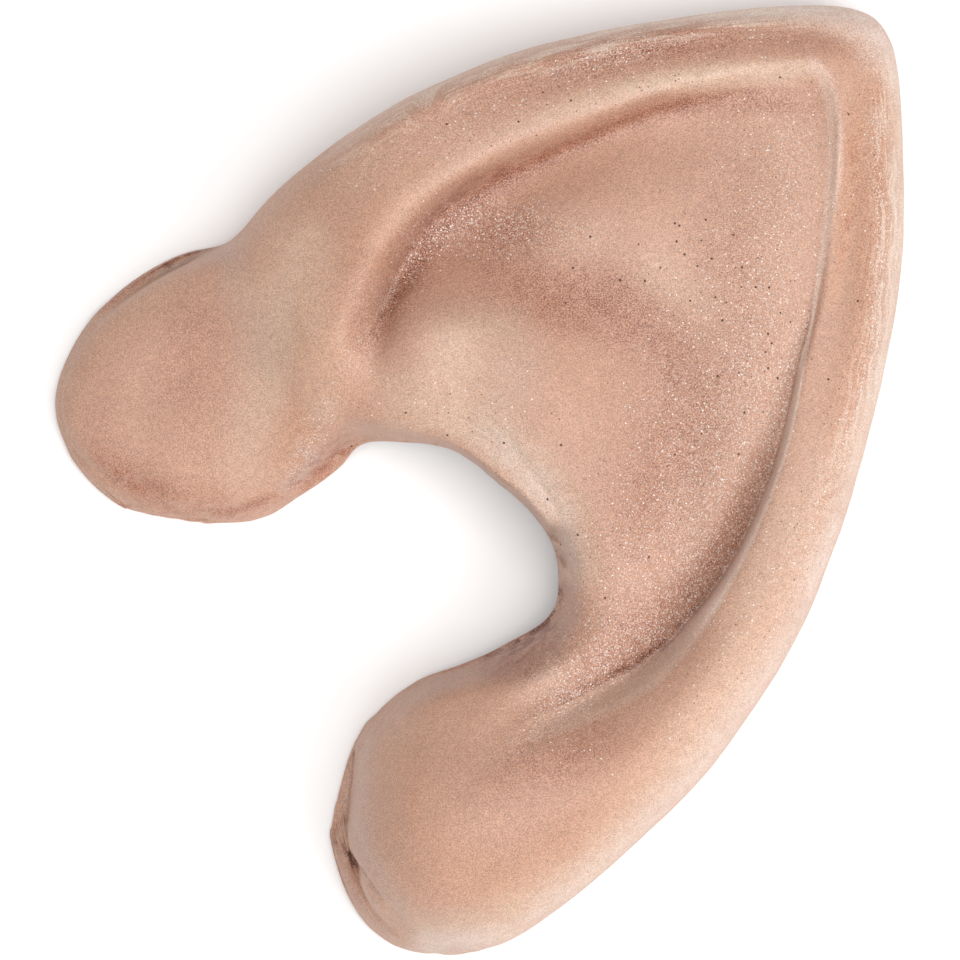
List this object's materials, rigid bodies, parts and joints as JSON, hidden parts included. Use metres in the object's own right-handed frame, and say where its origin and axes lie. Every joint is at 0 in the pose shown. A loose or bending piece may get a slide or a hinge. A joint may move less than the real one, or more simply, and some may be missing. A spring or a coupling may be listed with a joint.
{
  "type": "elf ear tip",
  "caption": "Slip-on pointed ear tip for a left ear: a thin hollow skin with sculpted folds in front, a plain back and a curved cut-out below.",
  "frame": {"origin": "middle of the part's bounding box, on the table that its plain back lies on", "axes": "+Z out of the sculpted front, +Y up the worn ear, +X towards its outer rim; the point is towards +X +Y"},
  "size_m": [0.0854, 0.0952, 0.0201],
  "materials": {
    "latex": "satin"
  },
  "bodies": {
    "root": {"ear_skin": "latex"}
  },
  "joints": []
}
